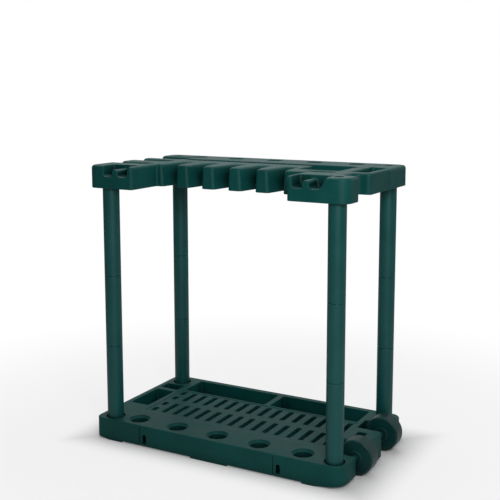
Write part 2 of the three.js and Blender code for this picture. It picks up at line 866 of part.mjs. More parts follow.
function topRack() {
  const windows = rackWindows().map((corners) =>
    block(corners, rackBottom - overrun * 2, rackSurface, 0, -rackWall),
  );
  const hollow = rackForm(overrun, rackSurface - rackTop, 0, rackWall)
    .subtract(joined(windows))
    .subtract(joined(notchMiddles().map((x) => notchPair(x, -rackWall))))
    .subtract(loopArch(rackTop))
    .subtract(rackInnards());
  const lift = block(
    rectangle(rackRight - windowRightMargin, rackRight + overrun, loopStart - overrun, rackBack + overrun),
    rackBottom - overrun,
    rackBottom + loopLift,
  );
  const rack = rackForm(0, rackSurface, rackEdge, 0)
    .subtract(hollow)
    .subtract(rackCavities())
    .subtract(loopArch())
    .subtract(lift);
  return geometryOf(rack);
}

// Post sections
function postSection(z0, z1, necked) {
  const inner = postRadius - postWall;
  const neck = inner - fit;
  const neckInner = neck - postWall;
  const head = z1 - fit;
  const plain = [
    [inner, z0],
    [postRadius - postChamfer, z0],
    [postRadius, z0 + postChamfer],
    [postRadius, head - postChamfer],
    [postRadius - postChamfer, head],
  ];
  const top = necked
    ? [
        [neck, head],
        [neck, head + spigotLength],
        [neckInner, head + spigotLength],
        [neckInner, head - postWall],
        [inner, head - postWall * 2],
      ]
    : [[inner, head]];
  const profile = [...plain, ...top, plain[0]].map(([r, z]) => new THREE.Vector2(r, z));
  return new THREE.LatheGeometry(profile, tubeSides).rotateX(Math.PI / 2);
}

// Wheels, axle and caps
function wheel() {
  const half = wheelWidth / 2;
  const bore = axleRadius + boreGap;
  const shoulder = Array.from({ length: softSteps + 1 }, (_, k) => {
    const angle = ((Math.PI / 2) * k) / softSteps;
    return [
      wheelRadius - wheelShoulder + wheelShoulder * Math.sin(angle),
      half - wheelShoulder + wheelShoulder * Math.cos(angle),
    ];
  });
  const side = [
    [bore, half - wheelDish],
    [wheelDishRadius - wheelDish, half - wheelDish],
    [wheelDishRadius, half],
    ...shoulder,
  ];
  const mirrored = side.map(([r, h]) => [r, -h]).reverse();
  const profile = [...side, ...mirrored, side[0]].reverse().map(([r, h]) => new THREE.Vector2(r, h));
  return new THREE.LatheGeometry(profile, wheelSides);
}

function axleCap(outwards) {
  const profile = [
    [0, capLength - capEdge],
    [axleRadius + fit, capLength - capEdge],
    [axleRadius + fit, 0],
    [capRadius, 0],
    [capRadius, capLength - capEdge],
    [capRadius - capEdge, capLength],
    [0, capLength],
  ].map(([r, h]) => new THREE.Vector2(r, h));
  const geometry = new THREE.LatheGeometry(profile, capSides);
  return outwards ? geometry : geometry.rotateX(Math.PI);
}

// Materials
const moulding = { color: 0x1a4641, roughness: 0.5, metalness: 0 };
const darkMoulding = { color: 0x0e3531, roughness: 0.55, metalness: 0 };
const tubing = { color: 0x17403c, roughness: 0.4, metalness: 0 };
const tyre = { color: 0x12302e, roughness: 0.6, metalness: 0 };
const steel = { color: 0x9a9c9b, roughness: 0.35, metalness: 1 };

// Assembly
const rack = new THREE.Group();
rack.position.set(-(rackLeft + axleX + wheelRadius) / 2, -(rackFront + trayBack) / 2, 0);
rack.add(named("base_tray", baseTray(), darkMoulding));
rack.add(named("top_rack", topRack(), moulding));

for (const place of postPlaces) {
  const post = new THREE.Group();
  post.position.set(place.x, place.y, 0);
  post.add(named(`post_${place.name}_lower`, postSection(postFoot, lowerTop, true), tubing));
  post.add(named(`post_${place.name}_middle`, postSection(lowerTop, middleTop, true), tubing));
  post.add(named(`post_${place.name}_upper`, postSection(middleTop, upperTop + fit, false), tubing));
  rack.add(post);
}

for (const [name, y] of [["front", frontWheelY], ["back", backWheelY]]) {
  const turning = named(`wheel_${name}`, wheel(), tyre);
  turning.position.set(axleX, y, axleZ);
  rack.add(turning);
}

const axleLength = axleBack - axleFront - fit * 2;
const axle = named("wheel_axle", new THREE.CylinderGeometry(axleRadius, axleRadius, axleLength, tubeSides), steel);
axle.position.set(axleX, (axleFront + axleBack) / 2, axleZ);
rack.add(axle);

const frontCap = named("axle_cap_front", axleCap(false), steel);
frontCap.position.set(axleX, bayFront - trayWall - fit, axleZ);
const backCap = named("axle_cap_back", axleCap(true), steel);
backCap.position.set(axleX, bayBack + trayWall + fit, axleZ);
rack.add(frontCap, backCap);

export default rack;
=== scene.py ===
# %% [markdown]
# # A freestanding garden tool rack in green moulded plastic
#
# The rack has a slatted base with two wheels at its right-hand end, four tube posts and a moulded
# top with finger slots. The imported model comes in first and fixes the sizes. The places of the
# posts and wheels and the outer sizes of both mouldings are read from it, and the smaller sizes
# are given with each piece.

# %% Load the frame
import math
import bpy
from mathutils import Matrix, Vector


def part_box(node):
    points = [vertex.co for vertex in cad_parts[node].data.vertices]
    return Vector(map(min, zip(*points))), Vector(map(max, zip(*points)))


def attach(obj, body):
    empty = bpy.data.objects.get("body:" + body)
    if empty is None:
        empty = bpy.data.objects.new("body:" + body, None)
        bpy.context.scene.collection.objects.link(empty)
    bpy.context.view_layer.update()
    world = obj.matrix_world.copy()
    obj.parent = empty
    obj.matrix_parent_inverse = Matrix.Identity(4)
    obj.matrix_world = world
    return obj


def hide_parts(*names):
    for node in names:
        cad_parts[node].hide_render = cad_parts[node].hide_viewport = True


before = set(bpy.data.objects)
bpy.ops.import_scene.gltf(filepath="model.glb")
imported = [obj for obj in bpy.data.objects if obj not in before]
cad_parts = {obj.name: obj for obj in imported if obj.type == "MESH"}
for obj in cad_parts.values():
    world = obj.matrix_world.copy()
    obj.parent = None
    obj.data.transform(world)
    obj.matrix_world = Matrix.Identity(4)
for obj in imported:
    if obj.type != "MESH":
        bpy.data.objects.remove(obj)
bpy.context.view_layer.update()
MM = 0.001

# %% [markdown]
# ## The camera
#
# The photograph was taken from the front right, a little above the rack. The posts stand upright
# in it, which a camera does that looks level and is shifted down. Here it is tipped a little and
# shifted less, because a large shift would push the rack out of the picture in other views. Its
# place is given in metres from the middle of the four posts.

# %% Set the camera
def middle_of(*nodes):
    boxes = [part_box(node) for node in nodes]
    return sum((low + high for low, high in boxes), Vector()) / (2 * len(boxes))


PLACES = ("front_left", "front_right", "back_right", "back_left")
TO_THE_RIGHT, TO_THE_FRONT, EYE_HEIGHT = 1.2082, 2.1698, 0.9873
TIPPED_DEGREES = 8
HEADING = 0.499

post_middle = middle_of(*[f"post_{place}_lower" for place in PLACES])
lens = bpy.data.cameras.new("camera")
camera = bpy.data.objects.new("camera", lens)
bpy.context.scene.collection.objects.link(camera)
bpy.context.scene.camera = camera
camera.location = (post_middle.x + TO_THE_RIGHT, post_middle.y - TO_THE_FRONT, EYE_HEIGHT)
camera.rotation_euler = (math.radians(90 - TIPPED_DEGREES), 0, HEADING)
lens.sensor_width = 36
lens.lens = 66.5
lens.shift_x = -0.015
lens.shift_y = -0.076
lens.clip_end = 100
print("camera at", [round(v, 3) for v in camera.location])

# %% [markdown]
# ## The lamps
#
# Three wide, soft lamps light the rack, as in a studio. The key lamp at the front right models
# the front faces, the rim lamp behind draws a thin line along the right-hand edges, and the one
# overhead brightens the upward faces.

# %% Place the lamps
def area_lamp(name, place, aim, size, watts):
    data = bpy.data.lights.new(name, "AREA")
    data.shape = "RECTANGLE"
    data.size, data.size_y = size
    data.energy = watts
    lamp = bpy.data.objects.new(name, data)
    bpy.context.scene.collection.objects.link(lamp)
    lamp.location = place
    lamp.rotation_euler = (Vector(aim) - Vector(place)).to_track_quat("-Z", "Y").to_euler()


area_lamp("key_lamp", place=(1.3, -1.7, 1.4), aim=(0.05, 0, 0.45), size=(0.8, 0.8), watts=34)
area_lamp("rim_lamp", place=(2.3, 1.6, 1.3), aim=(0.2, 0, 0.4), size=(0.5, 1.6), watts=6)
area_lamp("top_lamp", place=(-0.4, 0.6, 2.6), aim=(0, 0, 0.3), size=(2.2, 2.2), watts=44)
print("lamps", [lamp.name for lamp in bpy.data.lights])

# %% [markdown]
# ## The white room
#
# The world is dim as a light, so the green stays deep, but the camera sees it white. A shiny face
# that mirrors the back of the room sees the white wall there, at a lower level, so that the
# upper faces don't turn pale. Light Path tells these kinds of ray apart.

# %% Make the world
def link(tree, source, output, target, socket):
    tree.links.new(source.outputs[output], target.inputs[socket])


def math_node(tree, operation, *values):
    node = tree.nodes.new("ShaderNodeMath")
    node.operation = operation
    for i, value in enumerate(values):
        if isinstance(value, (int, float)):
            node.inputs[i].default_value = value
        else:
            tree.links.new(value, node.inputs[i])
    return node.outputs[0]


def map_range(tree, value, from_low, from_high, to_low=0, to_high=1, smooth=False):
    node = tree.nodes.new("ShaderNodeMapRange")
    if smooth:
        node.interpolation_type = "SMOOTHSTEP"
    node.inputs["From Min"].default_value = from_low
    node.inputs["From Max"].default_value = from_high
    node.inputs["To Min"].default_value = to_low
    node.inputs["To Max"].default_value = to_high
    tree.links.new(value, node.inputs["Value"])
    return node.outputs["Result"]


ROOM_LIGHT, WALL_LEVEL = 0.1, 0.6
BACK_X, BACK_Y = -0.48, 0.88

world = bpy.data.worlds.new("studio")
bpy.context.scene.world = world
world.use_nodes = True
tree = world.node_tree
background = tree.nodes["Background"]
background.inputs["Color"].default_value = (1, 1, 1, 1)
rays = tree.nodes.new("ShaderNodeLightPath")
direction = tree.nodes.new("ShaderNodeTexCoord")
split = tree.nodes.new("ShaderNodeSeparateXYZ")
link(tree, direction, "Generated", split, 0)
across = math_node(tree, "MULTIPLY", split.outputs["X"], BACK_X)
along = math_node(tree, "MULTIPLY", split.outputs["Y"], BACK_Y)
back_wall = map_range(tree, math_node(tree, "ADD", across, along), 0.1, 0.75, to_high=WALL_LEVEL, smooth=True)
shiny = math_node(tree, "MAXIMUM", rays.outputs["Is Glossy Ray"], rays.outputs["Is Transmission Ray"])
mirrored = math_node(tree, "MULTIPLY", shiny, back_wall)
seen = math_node(tree, "MAXIMUM", rays.outputs["Is Camera Ray"], mirrored)
tree.links.new(map_range(tree, seen, 0, 1, to_low=ROOM_LIGHT), background.inputs["Strength"])
print("world", world.name, "with", len(tree.nodes), "nodes")

# %% [markdown]
# ## The floor
#
# A matt pale floor takes the rack's soft shadow. For the camera a white glow is mixed in, three
# quarters beside the rack and all of it farther away, so that no horizon shows. The glow begins
# at the edge of the rack's footprint, so the floor stays dark where it is seen through the slots.

# %% Lay the floor
HALF_LENGTH, HALF_DEPTH = 0.39, 0.2

bpy.ops.object.select_all(action="DESELECT")
bpy.ops.mesh.primitive_plane_add(size=60, location=(0, 0, -0.0005))
floor = bpy.context.object
floor.name = "studio_floor"
paint = bpy.data.materials.new("studio_floor")
paint.use_nodes = True
tree = paint.node_tree
tree.nodes.clear()
surface = tree.nodes.new("ShaderNodeOutputMaterial")
mix = tree.nodes.new("ShaderNodeMixShader")
matt = tree.nodes.new("ShaderNodeBsdfDiffuse")
matt.inputs["Color"].default_value = (0.7, 0.7, 0.7, 1)
glow = tree.nodes.new("ShaderNodeEmission")
rays = tree.nodes.new("ShaderNodeLightPath")
place = tree.nodes.new("ShaderNodeTexCoord")
distance = tree.nodes.new("ShaderNodeVectorMath")
distance.operation = "LENGTH"
link(tree, place, "Object", distance, 0)
split = tree.nodes.new("ShaderNodeSeparateXYZ")
link(tree, place, "Object", split, 0)
past_ends = math_node(tree, "SUBTRACT", math_node(tree, "ABSOLUTE", split.outputs["X"]), HALF_LENGTH)
past_sides = math_node(tree, "SUBTRACT", math_node(tree, "ABSOLUTE", split.outputs["Y"]), HALF_DEPTH)
uncovered = map_range(tree, math_node(tree, "MAXIMUM", past_ends, past_sides), -0.03, 0.1, smooth=True)
fade = map_range(tree, distance.outputs["Value"], 0.55, 1.5, to_low=0.75, smooth=True)
open_floor = math_node(tree, "MULTIPLY", fade, uncovered)
glowing = math_node(tree, "MULTIPLY", open_floor, rays.outputs["Is Camera Ray"])
tree.links.new(glowing, mix.inputs[0])
link(tree, matt, 0, mix, 1)
link(tree, glow, 0, mix, 2)
link(tree, mix, 0, surface, "Surface")
floor.data.materials.append(paint)
bpy.context.scene.view_settings.view_transform = "Standard"
print("floor", [round(v) for v in floor.dimensions], "metres")

# %% [markdown]
# ## Effects that the plastics share
#
# Moulded plastic isn't one flat colour. A fine grain breaks up its shine, the pigment varies a
# little from place to place, and a little dust lies on upward faces. Edges are painted paler,
# partly as wear by tools and hands and partly as a painted highlight on rounded edges, and deep
# places are darkened with painted shade. Each effect is a node group with its own settings,
# built once and used in every plastic.

# %% Build the groups for grain, wear and painted highlight, dust and painted shade
def new_group(name, inputs, outputs):
    group = bpy.data.node_groups.new(name, "ShaderNodeTree")
    for label, value in inputs.items():
        socket = group.interface.new_socket(label, in_out="INPUT", socket_type="NodeSocketFloat")
        socket.default_value = value
    for label in outputs:
        group.interface.new_socket(label, in_out="OUTPUT", socket_type="NodeSocketFloat")
    return group, group.nodes.new("NodeGroupInput"), group.nodes.new("NodeGroupOutput")


def noise(tree, scale, detail, stretch=None):
    place = tree.nodes.new("ShaderNodeTexCoord")
    node = tree.nodes.new("ShaderNodeTexNoise")
    node.inputs["Detail"].default_value = detail
    if stretch:
        mapping = tree.nodes.new("ShaderNodeMapping")
        mapping.inputs["Scale"].default_value = stretch
        link(tree, place, "Object", mapping, "Vector")
        link(tree, mapping, "Vector", node, "Vector")
    else:
        link(tree, place, "Object", node, "Vector")
    if isinstance(scale, (int, float)):
        node.inputs["Scale"].default_value = scale
    else:
        tree.links.new(scale, node.inputs["Scale"])
    return node.outputs["Fac"]


grain_group, given, made = new_group(
    "mould_grain", {"Grain Scale": 900, "Patch Scale": 14}, ["Grain", "Patches"])
grain = noise(grain_group, given.outputs["Grain Scale"], detail=3)
patches = noise(grain_group, given.outputs["Patch Scale"], detail=4)
grain_group.links.new(grain, made.inputs["Grain"])
grain_group.links.new(map_range(grain_group, patches, 0.35, 0.65), made.inputs["Patches"])

# Edge wear and painted highlight: edges, found where a bevelled normal differs from the true one, get a paler
# colour, partly for wear and partly as a painted highlight on rounded edges.
wear_and_highlight_group, given, made = new_group("edge_wear_and_highlight", {"Radius": 0.0015, "Amount": 1}, ["Wear"])
soft = wear_and_highlight_group.nodes.new("ShaderNodeBevel")
soft.samples = 4
hard = wear_and_highlight_group.nodes.new("ShaderNodeNewGeometry")
facing = wear_and_highlight_group.nodes.new("ShaderNodeVectorMath")
facing.operation = "DOT_PRODUCT"
wear_and_highlight_group.links.new(given.outputs["Radius"], soft.inputs["Radius"])
wear_and_highlight_group.links.new(soft.outputs["Normal"], facing.inputs[0])
wear_and_highlight_group.links.new(hard.outputs["Normal"], facing.inputs[1])
edges = map_range(wear_and_highlight_group, facing.outputs["Value"], 0.995, 0.8)
broken = math_node(wear_and_highlight_group, "MULTIPLY", edges, noise(wear_and_highlight_group, 60, detail=3))
worn_and_highlit = math_node(wear_and_highlight_group, "MULTIPLY", broken, given.outputs["Amount"])
wear_and_highlight_group.links.new(worn_and_highlit, made.inputs["Wear"])

dust_group, given, made = new_group("settled_dust", {"Amount": 1}, ["Dust"])
hard = dust_group.nodes.new("ShaderNodeNewGeometry")
split = dust_group.nodes.new("ShaderNodeSeparateXYZ")
dust_group.links.new(hard.outputs["Normal"], split.inputs[0])
level = map_range(dust_group, split.outputs["Z"], 0.6, 1)
lying = math_node(dust_group, "MULTIPLY", level, noise(dust_group, 35, detail=5))
settled = math_node(dust_group, "MULTIPLY", lying, given.outputs["Amount"])
dust_group.links.new(settled, made.inputs["Dust"])

# Painted shade: an occlusion mask darkens recesses such as cups, slots and holes towards near black, in place
# of the shade that falls there.
painted_shade_group, given, made = new_group("recess_painted_shade", {"Reach": 0.05, "Amount": 1}, ["Grime"])
open_air = painted_shade_group.nodes.new("ShaderNodeAmbientOcclusion")
open_air.samples = 6
painted_shade_group.links.new(given.outputs["Reach"], open_air.inputs["Distance"])
deep = map_range(painted_shade_group, open_air.outputs["AO"], 0.72, 0.22)
dark = math_node(painted_shade_group, "MULTIPLY", deep, given.outputs["Amount"])
painted_shade_group.links.new(dark, made.inputs["Grime"])
print("groups", [group.name for group in bpy.data.node_groups])

# %% [markdown]
# ## The plastics
#
# All pieces are one deep green. The base and the top are moulded with a satin grain, the tubes
# are extruded and a little glossier, and the wheels are darker. One function mixes the shared
# effects in the amounts that each piece needs.

# %% Make the plastics
DUST = (0.2, 0.25, 0.24)
# Near-black colour of the painted shade in recesses.
PAINTED_SHADE = (0.0005, 0.003, 0.003)


def add_group(tree, group, **values):
    node = tree.nodes.new("ShaderNodeGroup")
    node.node_tree = group
    for label, value in values.items():
        node.inputs[label.replace("_", " ")].default_value = value
    return node


def mix_colour(tree, factor, first, second):
    node = tree.nodes.new("ShaderNodeMix")
    node.data_type = "RGBA"
    tree.links.new(factor, node.inputs["Factor"])
    for socket, value in (("A", first), ("B", second)):
        target = [s for s in node.inputs if s.name == socket and s.type == "RGBA"][0]
        if isinstance(value, tuple):
            target.default_value = (*value, 1)
        else:
            tree.links.new(value, target)
    return [s for s in node.outputs if s.type == "RGBA"][0]


def plastic(name, colour, patch, rubbed_and_highlight, roughness, shine, grain_scale, grain_depth, wear_and_highlight, dust):
    material = bpy.data.materials.new(name)
    material.use_nodes = True
    tree = material.node_tree
    shader = tree.nodes["Principled BSDF"]
    grain = add_group(tree, grain_group, Grain_Scale=grain_scale, Patch_Scale=14)
    worn_and_highlit = add_group(tree, wear_and_highlight_group, Radius=0.0015, Amount=wear_and_highlight)
    dusty = add_group(tree, dust_group, Amount=dust)
    shaded_recesses = add_group(tree, painted_shade_group, Reach=0.05, Amount=0.95)
    pigment = mix_colour(tree, grain.outputs["Patches"], colour, patch)
    # Pale edges: partly wear, partly a painted highlight.
    edged = mix_colour(tree, worn_and_highlit.outputs["Wear"], pigment, rubbed_and_highlight)
    powdered = mix_colour(tree, dusty.outputs["Dust"], edged, DUST)
    # Painted shade: recesses darkened towards near black.
    shade_darkened = mix_colour(tree, shaded_recesses.outputs["Grime"], powdered, PAINTED_SHADE)
    tree.links.new(shade_darkened, shader.inputs["Base Color"])
    uneven = math_node(tree, "MULTIPLY_ADD", grain.outputs["Patches"], 0.08, roughness - 0.04)
    dull = math_node(tree, "MULTIPLY_ADD", grain.outputs["Grain"], 0.08, uneven)
    tree.links.new(dull, shader.inputs["Roughness"])
    bump = tree.nodes.new("ShaderNodeBump")
    bump.inputs["Distance"].default_value = grain_depth
    bump.inputs["Strength"].default_value = 0.5
    link(tree, grain, "Grain", bump, "Height")
    link(tree, bump, "Normal", shader, "Normal")
    shader.inputs["Specular IOR Level"].default_value = shine
    return material


# Each rubbed colour is a pale edge colour, partly wear and partly a painted highlight; the wheels' is palest,
# for a painted arc of light on their rims.
base_plastic = plastic(
    "base_plastic", colour=(0.0012, 0.046, 0.042), patch=(0.002, 0.055, 0.050), rubbed_and_highlight=(0.06, 0.17, 0.16),
    roughness=0.5, shine=0.14, grain_scale=900, grain_depth=0.0002, wear_and_highlight=0.7, dust=0.05)
rack_plastic = plastic(
    "rack_plastic", colour=(0.0012, 0.050, 0.046), patch=(0.002, 0.060, 0.055), rubbed_and_highlight=(0.06, 0.18, 0.17),
    roughness=0.45, shine=0.16, grain_scale=900, grain_depth=0.0002, wear_and_highlight=0.7, dust=0.05)
tube_plastic = plastic(
    "tube_plastic", colour=(0.0015, 0.056, 0.053), patch=(0.002, 0.064, 0.060), rubbed_and_highlight=(0.03, 0.12, 0.11),
    roughness=0.38, shine=0.3, grain_scale=1200, grain_depth=0.0001, wear_and_highlight=0.3, dust=0)
wheel_plastic = plastic(
    "wheel_plastic", colour=(0.001, 0.026, 0.024), patch=(0.0015, 0.034, 0.032), rubbed_and_highlight=(0.10, 0.20, 0.20),
    roughness=0.4, shine=0.22, grain_scale=700, grain_depth=0.0002, wear_and_highlight=0.6, dust=0.03)
print("plastics", [material.name for material in bpy.data.materials if material.name.endswith("plastic")])

# %% [markdown]
# ## The steel of the axle
#
# The axle and its two caps are the only metal. Drawn rod is dull along one direction, which a
# noise does that is stretched along the axle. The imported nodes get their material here, and the
# pieces made later replace most of them.

# %% Make the steel and hand out the materials
steel = bpy.data.materials.new("axle_steel")
steel.use_nodes = True
shader = steel.node_tree.nodes["Principled BSDF"]
shader.inputs["Metallic"].default_value = 1
shader.inputs["Base Color"].default_value = (0.35, 0.36, 0.36, 1)
drawn = noise(steel.node_tree, 300, detail=2, stretch=(1, 0.05, 1))
brushed = math_node(steel.node_tree, "MULTIPLY_ADD", drawn, 0.3, 0.25)
steel.node_tree.links.new(brushed, shader.inputs["Roughness"])

looks = {"base_tray": base_plastic, "top_rack": rack_plastic,
         "wheel_front": wheel_plastic, "wheel_back": wheel_plastic,
         "wheel_axle": steel, "axle_cap_front": steel, "axle_cap_back": steel}
for name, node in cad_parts.items():
    look = looks.get(name, tube_plastic)
    for slot in node.material_slots:
        slot.material = look
print("materials", [material.name for material in bpy.data.materials])

# %% [markdown]
# ## A drawing to work from
#
# The pieces are set out as on a drawing, in millimetres from the middle of the four posts, on
# the floor. One helper turns such a place into Blender's metres, and another reads a packed
# piece's box back onto the drawing.

# %% Helpers that place a primitive
centre = Vector((post_middle.x, post_middle.y, 0))


def at(x, y, z):
    return centre + Vector((x, y, z)) * MM


def drawing_box(node):
    return [tuple(round(v, 1) for v in (corner - centre) / MM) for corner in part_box(node)]


def settle(name):
    piece = bpy.context.object
    piece.name = name
    bpy.ops.object.transform_apply(location=True, rotation=True, scale=True)
    return piece


def box(name, low, high):
    low, high = at(*low), at(*high)
    bpy.ops.object.select_all(action="DESELECT")
    bpy.ops.mesh.primitive_cube_add(size=1, location=(low + high) / 2, scale=high - low)
    return settle(name)


def upright_rod(name, x, y, z0, z1, radius, sides=64):
    bpy.ops.object.select_all(action="DESELECT")
    bpy.ops.mesh.primitive_cylinder_add(
        vertices=sides, radius=radius * MM, depth=(z1 - z0) * MM, location=at(x, y, (z0 + z1) / 2))
    return settle(name)


def level_rod(name, x, y0, y1, z, radius, sides=64):
    bpy.ops.object.select_all(action="DESELECT")
    bpy.ops.mesh.primitive_cylinder_add(
        vertices=sides, radius=radius * MM, depth=(y1 - y0) * MM,
        location=at(x, (y0 + y1) / 2, z), rotation=(math.pi / 2, 0, 0))
    return settle(name)


corners = {}
for place in PLACES:
    low, high = drawing_box(f"post_{place}_lower")
    corners[place] = ((low[0] + high[0]) / 2, (low[1] + high[1]) / 2)
print("posts at", corners)

# %% [markdown]
# ## Tools for modelling
#
# The pieces are made as by hand: edges and faces are picked by their place or their direction,
# and bevels, insets and extrusions shape them. Plain cutters take away what is hollow. In a flat
# face with many holes, the edges that join the holes may cross a bevelled rim and leave small
# folds. Planing the face off by a hair takes most of them away. A planed face can be cut in
# cells, which keeps it from becoming one face with hundreds of corners.

# %% Helpers that pick, soften and cut
import bmesh


def spot(item):
    points = [item.co] if isinstance(item, bmesh.types.BMVert) else [vert.co for vert in item.verts]
    return (sum(points, Vector()) / len(points) - centre) / MM


def near(value, target, slack=0.01):
    return abs(value - target) < slack


def run(edge):
    return (edge.verts[1].co - edge.verts[0].co).normalized()


def activate(piece):
    bpy.ops.object.select_all(action="DESELECT")
    piece.select_set(True)
    bpy.context.view_layer.objects.active = piece


def pick(piece, kind, want):
    activate(piece)
    bpy.ops.object.mode_set(mode="EDIT")
    bpy.ops.mesh.select_mode(type=kind)
    bpy.ops.mesh.select_all(action="DESELECT")
    mesh = bmesh.from_edit_mesh(piece.data)
    items = {"VERT": mesh.verts, "EDGE": mesh.edges, "FACE": mesh.faces}[kind]
    chosen = [item for item in items if want(item)]
    for item in chosen:
        item.select_set(True)
    bmesh.update_edit_mesh(piece.data)
    return len(chosen)


def leave():
    bpy.ops.object.mode_set(mode="OBJECT")


def soften(piece, want, width, segments):
    if pick(piece, "EDGE", want):
        bpy.ops.mesh.bevel(
            offset=width * MM, segments=segments, profile=0.5, affect="EDGES", clamp_overlap=False)
    leave()


def bend(edge):
    return edge.calc_face_angle(0)


def is_upright(edge):
    return abs(run(edge).z) > 0.9 and bend(edge) > 0.3


def is_rim(edge):
    if len(edge.link_faces) != 2 or bend(edge) < 0.9:
        return False
    tilts = sorted(face.normal.z for face in edge.link_faces)
    return tilts[1] > 0.9 and abs(tilts[0]) < 0.4


def cut(piece, cutters, operation="DIFFERENCE"):
    shelf = bpy.data.collections.new("cutters")
    bpy.context.scene.collection.children.link(shelf)
    for cutter in cutters:
        shelf.objects.link(cutter)
    modifier = piece.modifiers.new("cut", "BOOLEAN")
    modifier.operation = operation
    modifier.solver = "MANIFOLD"
    modifier.operand_type = "COLLECTION"
    modifier.collection = shelf
    activate(piece)
    bpy.ops.object.modifier_apply(modifier="cut")
    for cutter in cutters:
        bpy.data.objects.remove(cutter)
    bpy.data.collections.remove(shelf)


HAIR = 0.02


def plane_off(piece, z, cells=0, low=(-450, -300), high=(450, 300)):
    plane = box("plane", (*low, z - HAIR), (*high, z + 20))
    if cells:
        pick(plane, "FACE", lambda face: face.normal.z < -0.9)
        bpy.ops.mesh.subdivide(number_cuts=cells)
        leave()
    cut(piece, [plane])


def finish_piece(piece, body, look, node):
    activate(piece)
    bpy.ops.object.shade_smooth_by_angle(angle=math.radians(38))
    bpy.ops.object.modifier_add(type="WEIGHTED_NORMAL")
    piece.modifiers[-1].keep_sharp = True
    bpy.ops.object.modifier_apply(modifier=piece.modifiers[-1].name)
    piece.data.materials.clear()
    piece.data.materials.append(look)
    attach(piece, body)
    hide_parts(node)
    print(piece.name, len(piece.data.polygons), "faces")


# %% [markdown]
# ## The tube sections
#
# Each post is three lengths of tube. The two lower lengths are necked at the top, and the next
# tube slides over the neck. A small bevel at both ends makes the dark line of each seam. A
# cylinder is the start: its rims are bevelled, insets and extrusions make the neck and the
# hollow, and the two hollow ends are merged. Each length is modelled once and copied to the
# other corners.

# %% Model the three lengths of tube
TUBE_WALL, TUBE_GAP = 2, 0.3
NECK = 30
SEAM = 1.2
LEVELS = ("lower", "middle", "upper")

tube_boxes = [drawing_box(f"post_front_left_{level}") for level in LEVELS]
TUBE = (tube_boxes[0][1][0] - tube_boxes[0][0][0]) / 2
TUBE_TOP = round(tube_boxes[-1][1][2] + TUBE_GAP, 1)
feet = [low[2] for low, high in tube_boxes]


def end_face(z):
    return lambda face: abs(face.normal.z) > 0.99 and near(spot(face).z, z)


def grow(length):
    bpy.ops.mesh.extrude_region_move(TRANSFORM_OT_translate={"value": (0, 0, length * MM)})


def tube(name, x, y, z0, z1, necked):
    head = z1 - TUBE_GAP
    piece = upright_rod(name, x, y, z0, head, TUBE, 72)
    soften(piece, lambda edge: bend(edge) > 1, SEAM, 3)
    pick(piece, "FACE", end_face(z0))
    bpy.ops.mesh.inset(thickness=(TUBE_WALL - SEAM) * MM)
    if necked:
        grow(head - 2 * TUBE_WALL - z0)
        grow(TUBE_WALL)
        share = (TUBE - 2 * TUBE_WALL - TUBE_GAP) / (TUBE - TUBE_WALL)
        bpy.ops.transform.resize(value=(share, share, 1), center_override=at(x, y, head))
        grow(TUBE_WALL + NECK)
        bpy.ops.mesh.delete(type="ONLY_FACE")
        leave()
        pick(piece, "FACE", end_face(head))
        bpy.ops.mesh.inset(thickness=(TUBE_WALL + TUBE_GAP - SEAM) * MM)
        grow(NECK)
        bpy.ops.mesh.inset(thickness=TUBE_WALL * MM)
        bpy.ops.mesh.delete(type="ONLY_FACE")
    else:
        grow(head - z0)
        bpy.ops.mesh.delete(type="ONLY_FACE")
        leave()
        pick(piece, "FACE", end_face(head))
        bpy.ops.mesh.inset(thickness=(TUBE_WALL - SEAM) * MM)
        bpy.ops.mesh.delete(type="ONLY_FACE")
    bpy.ops.mesh.select_all(action="SELECT")
    bpy.ops.mesh.remove_doubles(threshold=0.01 * MM)
    bpy.ops.mesh.normals_make_consistent(inside=False)
    leave()
    return piece


def copy_of(piece, name, shift):
    twin = piece.copy()
    twin.data = piece.data.copy()
    twin.name = name
    bpy.context.scene.collection.objects.link(twin)
    activate(twin)
    bpy.ops.transform.translate(value=shift)
    bpy.ops.object.transform_apply(location=True, rotation=True, scale=True)
    return twin


first_place = PLACES[0]
for level, z0, z1 in zip(LEVELS, feet, [*feet[1:], TUBE_TOP]):
    first = tube(f"tube_{first_place}_{level}", *corners[first_place], z0, z1, level != LEVELS[-1])
    finish_piece(first, "rack_frame", tube_plastic, f"post_{first_place}_{level}")
    for place in PLACES[1:]:
        shift = at(*corners[place], 0) - at(*corners[first_place], 0)
        piece = copy_of(first, f"tube_{place}_{level}", shift)
        finish_piece(piece, "rack_frame", tube_plastic, f"post_{place}_{level}")

# %% [markdown]
# ## The wheels
#
# The wheels are plain moulded drums with a rounded shoulder, which catches a thin line of light,
# and a shallow dished face. A cylinder gets its shoulder from a bevel and its dish from insets,
# and bridging the two innermost faces opens the bore for the axle.

# %% Model a wheel and copy it
SHOULDER = 4
EDGE_RING, DISH_STEP, DISH, HUB_STEP = 2.5, 1.6, 20, 1
DISH_DEPTH, HUB_RISE = 1.5, 1.1
WHEEL_BORE = 5.4
ROUND_FACE_CORNERS = 100

front_low, front_high = drawing_box("wheel_front")
back_low = drawing_box("wheel_back")[0]
WHEEL = (front_high[0] - front_low[0]) / 2
AXLE_X = (front_low[0] + front_high[0]) / 2
AXLE_Z = (front_low[2] + front_high[2]) / 2


def end_disc(side):
    return lambda face: face.normal.y * side > 0.99 and len(face.verts) > ROUND_FACE_CORNERS


